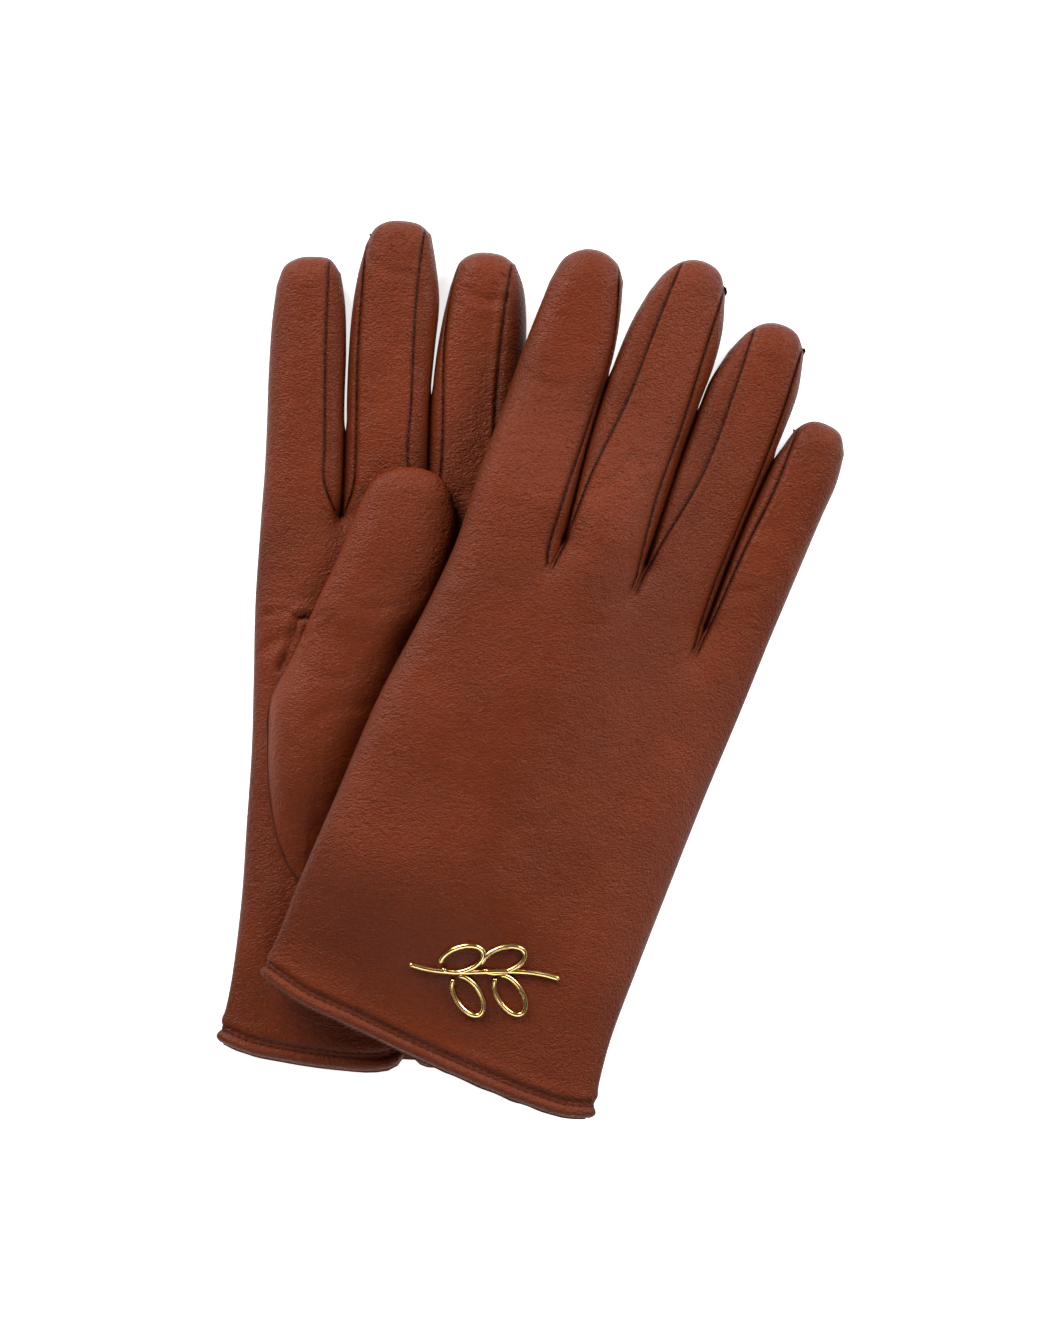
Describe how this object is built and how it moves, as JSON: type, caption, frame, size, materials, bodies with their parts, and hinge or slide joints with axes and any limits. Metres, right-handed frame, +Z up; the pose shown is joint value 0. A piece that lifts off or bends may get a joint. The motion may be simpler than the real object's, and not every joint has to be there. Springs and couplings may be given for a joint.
{
  "type": "pair of leather gloves",
  "caption": "Pair of short leather dress gloves lying crossed, the lower one palm up and the upper one back up, with stitched cuffs and a gold wire ornament",
  "frame": {"origin": "bottom centre of the pair's box, on the surface it lies on", "axes": "+X to the right across the gloves seen from above, +Y from the cuffs towards the fingertips, +Z up from the surface"},
  "size_m": [0.176, 0.2506, 0.0336],
  "materials": {
    "nappa_leather": "fine nappa grain, soft semi-gloss",
    "lining_cloth": "matt knitted lining",
    "gold_metal": "polished gold"
  },
  "bodies": {
    "left_hand": {"left_back_panel": "nappa_leather", "left_palm_panel": "nappa_leather", "left_fork_roots": "nappa_leather", "left_hem": "nappa_leather", "left_lining": "lining_cloth", "left_thumb_gusset": "nappa_leather"},
    "right_hand": {"right_back_panel": "nappa_leather", "right_palm_panel": "nappa_leather", "right_fork_roots": "nappa_leather", "right_hem": "nappa_leather", "right_lining": "lining_cloth", "right_thumb_gusset": "nappa_leather", "right_ornament": "gold_metal", "right_ornament_clips": "gold_metal"},
    "left_index_base": {"left_index_base_leather": "nappa_leather", "left_index_base_fourchettes": "nappa_leather"},
    "left_index_tip": {"left_index_tip_leather": "nappa_leather", "left_index_tip_fourchettes": "nappa_leather"},
    "left_middle_base": {"left_middle_base_leather": "nappa_leather", "left_middle_base_fourchettes": "nappa_leather"},
    "left_middle_tip": {"left_middle_tip_leather": "nappa_leather", "left_middle_tip_fourchettes": "nappa_leather"},
    "left_ring_base": {"left_ring_base_leather": "nappa_leather", "left_ring_base_fourchettes": "nappa_leather"},
    "left_ring_tip": {"left_ring_tip_leather": "nappa_leather", "left_ring_tip_fourchettes": "nappa_leather"},
    "left_little_base": {"left_little_base_leather": "nappa_leather", "left_little_base_fourchettes": "nappa_leather"},
    "left_little_tip": {"left_little_tip_leather": "nappa_leather", "left_little_tip_fourchettes": "nappa_leather"},
    "left_thumb_base": {"left_thumb_base": "nappa_leather"},
    "left_thumb_tip": {"left_thumb_tip": "nappa_leather"},
    "right_index_base": {"right_index_base_leather": "nappa_leather", "right_index_base_fourchettes": "nappa_leather"},
    "right_index_tip": {"right_index_tip_leather": "nappa_leather", "right_index_tip_fourchettes": "nappa_leather"},
    "right_middle_base": {"right_middle_base_leather": "nappa_leather", "right_middle_base_fourchettes": "nappa_leather"},
    "right_middle_tip": {"right_middle_tip_leather": "nappa_leather", "right_middle_tip_fourchettes": "nappa_leather"},
    "right_ring_base": {"right_ring_base_leather": "nappa_leather", "right_ring_base_fourchettes": "nappa_leather"},
    "right_ring_tip": {"right_ring_tip_leather": "nappa_leather", "right_ring_tip_fourchettes": "nappa_leather"},
    "right_little_base": {"right_little_base_leather": "nappa_leather", "right_little_base_fourchettes": "nappa_leather"},
    "right_little_tip": {"right_little_tip_leather": "nappa_leather", "right_little_tip_fourchettes": "nappa_leather"},
    "right_thumb_base": {"right_thumb_base": "nappa_leather"},
    "right_thumb_tip": {"right_thumb_tip": "nappa_leather"}
  },
  "joints": [
    {"name": "right_lift", "type": "slide", "parent": "left_hand", "child": "right_hand", "axis": [0, 0, 1], "range_m": [0, 0.35]},
    {"name": "left_index_knuckle", "type": "hinge", "parent": "left_hand", "child": "left_index_base", "pos_m": [-0.0639, 0.05625, 0.01248], "axis": [0.9989, -0.0475, 0], "range_deg": [0, 60]},
    {"name": "left_index_bend", "type": "hinge", "parent": "left_index_base", "child": "left_index_tip", "pos_m": [-0.06248, 0.08622, 0.01248], "axis": [0.9989, -0.0475, 0], "range_deg": [0, 60]},
    {"name": "left_middle_knuckle", "type": "hinge", "parent": "left_hand", "child": "left_middle_base", "pos_m": [-0.03917, 0.0596, 0.01248], "axis": [0.9991, -0.042, 0], "range_deg": [0, 60]},
    {"name": "left_middle_bend", "type": "hinge", "parent": "left_middle_base", "child": "left_middle_tip", "pos_m": [-0.0378, 0.09207, 0.01248], "axis": [0.9991, -0.042, 0], "range_deg": [0, 60]},
    {"name": "left_ring_knuckle", "type": "hinge", "parent": "left_hand", "child": "left_ring_base", "pos_m": [-0.01559, 0.05755, 0.01248], "axis": [0.9981, -0.061, 0], "range_deg": [0, 60]},
    {"name": "left_ring_bend", "type": "hinge", "parent": "left_ring_base", "child": "left_ring_tip", "pos_m": [-0.01379, 0.087, 0.01248], "axis": [0.9981, -0.061, 0], "range_deg": [0, 60]},
    {"name": "left_little_knuckle", "type": "hinge", "parent": "left_hand", "child": "left_little_base", "pos_m": [0.00431, 0.04525, 0.01248], "axis": [0.9882, -0.1534, 0], "range_deg": [0, 60]},
    {"name": "left_little_bend", "type": "hinge", "parent": "left_little_base", "child": "left_little_tip", "pos_m": [0.00799, 0.06896, 0.01248], "axis": [0.9882, -0.1534, 0], "range_deg": [0, 60]},
    {"name": "left_thumb_root", "type": "hinge", "parent": "left_hand", "child": "left_thumb_base", "pos_m": [-0.07464, -0.03414, 0.02078], "axis": [-0.0872, -0.9962, 0], "range_deg": [0, 30]},
    {"name": "left_thumb_bend", "type": "hinge", "parent": "left_thumb_base", "child": "left_thumb_tip", "pos_m": [-0.047, 0.01388, 0.02078], "axis": [0.9856, -0.169, 0], "range_deg": [0, 30]},
    {"name": "right_index_knuckle", "type": "hinge", "parent": "right_hand", "child": "right_index_base", "pos_m": [-0.00008, 0.05479, 0.0191], "axis": [-0.9615, 0.2749, 0], "range_deg": [0, 60]},
    {"name": "right_index_bend", "type": "hinge", "parent": "right_index_base", "child": "right_index_tip", "pos_m": [0.00872, 0.08555, 0.01223], "axis": [-0.9615, 0.2749, 0], "range_deg": [0, 60]},
    {"name": "right_middle_knuckle", "type": "hinge", "parent": "right_hand", "child": "right_middle_base", "pos_m": [0.02621, 0.04869, 0.01077], "axis": [-0.9487, 0.3163, 0], "range_deg": [0, 60]},
    {"name": "right_middle_bend", "type": "hinge", "parent": "right_middle_base", "child": "right_middle_tip", "pos_m": [0.03697, 0.08094, 0.00416], "axis": [-0.9487, 0.3163, 0], "range_deg": [0, 60]},
    {"name": "right_ring_knuckle", "type": "hinge", "parent": "right_hand", "child": "right_ring_base", "pos_m": [0.04743, 0.03798, 0.00081], "axis": [-0.9294, 0.369, 0], "range_deg": [0, 60]},
    {"name": "right_ring_bend", "type": "hinge", "parent": "right_ring_base", "child": "right_ring_tip", "pos_m": [0.05924, 0.06773, -0.00022], "axis": [-0.9294, 0.369, 0], "range_deg": [0, 60]},
    {"name": "right_little_knuckle", "type": "hinge", "parent": "right_hand", "child": "right_little_base", "pos_m": [0.06123, 0.0224, -0.00022], "axis": [-0.896, 0.4441, 0], "range_deg": [0, 60]},
    {"name": "right_little_bend", "type": "hinge", "parent": "right_little_base", "child": "right_little_tip", "pos_m": [0.07234, 0.0448, -0.00022], "axis": [-0.896, 0.4441, 0], "range_deg": [0, 60]},
    {"name": "right_thumb_root", "type": "hinge", "parent": "right_hand", "child": "right_thumb_base", "pos_m": [-0.04284, -0.02658, 0.01208], "axis": [0.3672, 0.9301, 0], "range_deg": [0, 30]},
    {"name": "right_thumb_bend", "type": "hinge", "parent": "right_thumb_base", "child": "right_thumb_tip", "pos_m": [-0.00854, 0.01038, 0.01208], "axis": [-0.935, 0.3547, 0], "range_deg": [0, 30]}
  ],
  "couplings": [
    {"joint": "left_ring_knuckle", "follows": "right_lift", "rad_per_m": 2.9917},
    {"joint": "left_ring_bend", "follows": "right_lift", "rad_per_m": 2.9917},
    {"joint": "left_little_knuckle", "follows": "right_lift", "rad_per_m": 2.9917},
    {"joint": "left_little_bend", "follows": "right_lift", "rad_per_m": 2.9917},
    {"joint": "left_thumb_root", "follows": "right_lift", "rad_per_m": 1.4958},
    {"joint": "left_thumb_bend", "follows": "right_lift", "rad_per_m": 1.4958},
    {"joint": "right_index_knuckle", "follows": "right_lift", "rad_per_m": 2.9917},
    {"joint": "right_index_bend", "follows": "right_lift", "rad_per_m": 2.9917},
    {"joint": "right_thumb_root", "follows": "right_lift", "rad_per_m": 1.4958},
    {"joint": "right_thumb_bend", "follows": "right_lift", "rad_per_m": 1.4958}
  ]
}
